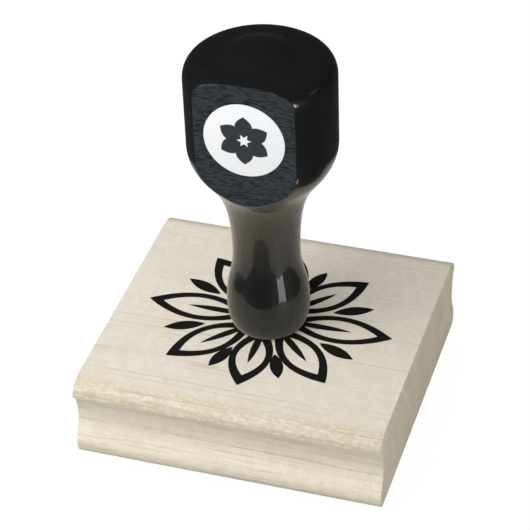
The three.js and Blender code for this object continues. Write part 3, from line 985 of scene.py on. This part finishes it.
foam_finish, tree, shader = material("closed_cell_foam", Roughness=0.9, Specular_IOR_Level=0.15)
cells = add(tree, "ShaderNodeTexVoronoi", {"feature": "F1"}, {
    "Vector": millimetres(tree), "Scale": 3.2, "Randomness": 1.0,
}).outputs[0]
clouds = use(tree, speckle, Grain_Size=6.0, Cloud_Size=0.4)
# Painted shade: the open cells are darkened as pits; the clouds are the foam's own uneven tone.
open_cell = calc(tree, "SUBTRACT", 1.0, band(tree, cells, 0.12, 0.42))
put(tree, shader.inputs["Base Color"], blend(
    tree, calc(tree, "MULTIPLY", open_cell, 0.8),
    blend(tree, calc(tree, "MULTIPLY", clouds.outputs["Cloud"], 0.3), FOAM, FOAM_TONE_AND_PIT_SHADE), FOAM_TONE_AND_PIT_SHADE,
))
bumped(tree, shader, calc(tree, "SUBTRACT", clouds.outputs["Grain"], open_cell), 0.08)

cushion = piece("foam_cushion", bm, "mount", [foam_finish], 50)
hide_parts("cushion_foam")
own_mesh(cushion)


# ==== Rubber die ==================================================================================
# The part that prints: a sheet of oxide-red vulcanised rubber, engraved so that the flower stands
# up from its floor, stuck under the foam.
RUBBER = (0.255, 0.055, 0.045, 1)
RUBBER_DARK = (0.165, 0.035, 0.030, 1)
RUBBER_DUST = (0.330, 0.120, 0.100, 1)

rubber, tree, shader = material("vulcanised_rubber", Specular_IOR_Level=0.35)
skin = use(tree, speckle, Grain_Size=5.0, Cloud_Size=0.22)
colour = blend(tree, band(tree, skin.outputs["Cloud"], 0.35, 0.7), RUBBER, RUBBER_DARK)
colour = laid(tree, colour, RUBBER_DUST, skin.outputs["Grain"], 0.55, 0.8, 0.5)
put(tree, shader.inputs["Base Color"], colour)
put(tree, shader.inputs["Roughness"], calc(tree, "MULTIPLY_ADD", skin.outputs["Grain"], 0.2, 0.58))
bumped(tree, shader, skin.outputs["Grain"], 0.02)
refinish("rubber_die", rubber)


# ==== Studio ======================================================================================
# A white table that gloss sees as dark, but for a paler patch behind the stamp, a large soft light
# over the front left, a window low on the right, and four small cards that only gloss sees. The
# surround is an even white, which gloss sees as dark too.
FLOOR_SIZE = 3.0
FLOOR_LEVEL = -0.00005
FLOOR_WHITE = (0.50, 0.50, 0.50, 1)
FLOOR_GLARE = 1.08
FLOOR_GLARE_SHARE = 0.90
FLOOR_IN_GLOSS = 0.045
PATCH_IN_GLOSS = 0.5
PATCH_TURN = math.radians(18.632)
PATCH_STARTS = (5.0, 35.0)
PATCH_ENDS = (72.0, 95.0)
SURROUND = 0.61
SURROUND_IN_GLOSS = 0.03
BACKDROP = 1.0
LIGHTS_AIM = Vector((0, 0, 0.035))
WHITE = (1, 1, 1, 1)


def softbox(name, direction, distance, size, power, colour=(1, 1, 1), lights_matt=True):
    """An area light that faces the stamp from an azimuth and an elevation, in degrees. One that
    lights nothing matt is a card, which shows only in gloss."""
    azimuth, elevation = (math.radians(angle) for angle in direction)
    out = Vector((
        math.sin(azimuth) * math.cos(elevation),
        -math.cos(azimuth) * math.cos(elevation),
        math.sin(elevation),
    ))
    light = bpy.data.lights.new(name, "AREA")
    light.shape = "RECTANGLE"
    light.size, light.size_y = size
    light.energy = power
    light.color = colour
    made = bpy.data.objects.new(name, light)
    bpy.context.scene.collection.objects.link(made)
    made.rotation_mode = "QUATERNION"
    made.rotation_quaternion = out.to_track_quat("Z", "Y")
    made.location = LIGHTS_AIM + out * distance
    made.visible_camera = False
    made.visible_diffuse = lights_matt


bm = bmesh.new()
bmesh.ops.create_grid(bm, x_segments=1, y_segments=1, size=FLOOR_SIZE / 2)
bmesh.ops.translate(bm, verts=bm.verts, vec=(0, 0, FLOOR_LEVEL))
floor = bpy.data.objects.new("floor", mesh_of(bm, "floor"))
bpy.context.scene.collection.objects.link(floor)

table = bpy.data.materials.new("white_table")
table.use_nodes = True
tree = table.node_tree
tree.nodes.clear()
matte = add(tree, "ShaderNodeBsdfDiffuse", None, {"Color": FLOOR_WHITE})
lit = add(tree, "ShaderNodeEmission", None, {"Color": WHITE, "Strength": FLOOR_GLARE})
place = millimetres(tree)
spot = add(tree, "ShaderNodeSeparateXYZ", None, {0: place})
behind = calc(
    tree, "SUBTRACT",
    calc(tree, "MULTIPLY", spot.outputs[1], math.cos(PATCH_TURN)),
    calc(tree, "MULTIPLY", spot.outputs[0], math.sin(PATCH_TURN)),
)
away = add(tree, "ShaderNodeVectorMath", {"operation": "LENGTH"}, {0: place}).outputs["Value"]
patch = calc(
    tree, "MULTIPLY", band(tree, behind, *PATCH_STARTS),
    calc(tree, "SUBTRACT", 1.0, band(tree, away, *PATCH_ENDS)),
)
dim = add(tree, "ShaderNodeEmission", None, {
    "Color": (0.92, 0.96, 1.0, 1),
    "Strength": calc(tree, "MULTIPLY_ADD", patch, PATCH_IN_GLOSS, FLOOR_IN_GLOSS),
})
path = tree.nodes.new("ShaderNodeLightPath")
seen = add(tree, "ShaderNodeMixShader", None, {
    0: calc(tree, "MULTIPLY", path.outputs["Is Camera Ray"], FLOOR_GLARE_SHARE),
    1: matte.outputs[0], 2: lit.outputs[0],
})
both = add(tree, "ShaderNodeMixShader", None, {
    0: path.outputs["Is Glossy Ray"], 1: seen.outputs[0], 2: dim.outputs[0],
})
from_below = add(tree, "ShaderNodeMixShader", None, {
    0: tree.nodes.new("ShaderNodeNewGeometry").outputs["Backfacing"],
    1: both.outputs[0], 2: tree.nodes.new("ShaderNodeBsdfTransparent").outputs[0],
})
add(tree, "ShaderNodeOutputMaterial", None, {"Surface": from_below.outputs[0]})
floor.data.materials.append(table)

softbox("key", (-45, 48), 0.55, (0.50, 0.50), 2.5)
softbox("window", (58, 1), 0.50, (0.20, 0.11), 0.30, (0.93, 0.97, 1.0))
softbox("low_card", (54, -17.6), 0.063, (0.020, 0.014), 0.005, (0.9, 0.95, 1.0), False)
softbox("edge_light", (-18, 30), 0.60, (0.14, 0.34), 1.0, (0.95, 0.98, 1.0), False)
softbox("glint", (58, 4), 0.50, (0.12, 0.16), 0.85, (0.95, 0.98, 1.0), False)
softbox("far_wall", (102, 28), 0.50, (0.14, 0.10), 0.02, (0.85, 0.93, 1.0), False)

world = bpy.data.worlds.new("surround")
world.use_nodes = True
bpy.context.scene.world = world
tree = world.node_tree
tree.nodes.clear()
path = tree.nodes.new("ShaderNodeLightPath")
ambient = add(tree, "ShaderNodeBackground", None, {"Color": WHITE, "Strength": SURROUND})
gloss_view = add(
    tree, "ShaderNodeBackground", None, {"Color": WHITE, "Strength": SURROUND_IN_GLOSS}
)
backdrop = add(tree, "ShaderNodeBackground", None, {"Color": WHITE, "Strength": BACKDROP})
first = add(tree, "ShaderNodeMixShader", None, {
    0: path.outputs["Is Glossy Ray"], 1: ambient.outputs[0], 2: gloss_view.outputs[0],
})
second = add(tree, "ShaderNodeMixShader", None, {
    0: path.outputs["Is Camera Ray"], 1: first.outputs[0], 2: backdrop.outputs[0],
})
add(tree, "ShaderNodeOutputWorld", None, {"Surface": second.outputs[0]})

bpy.context.scene.view_settings.view_transform = "Standard"
bpy.context.scene.view_settings.look = "None"
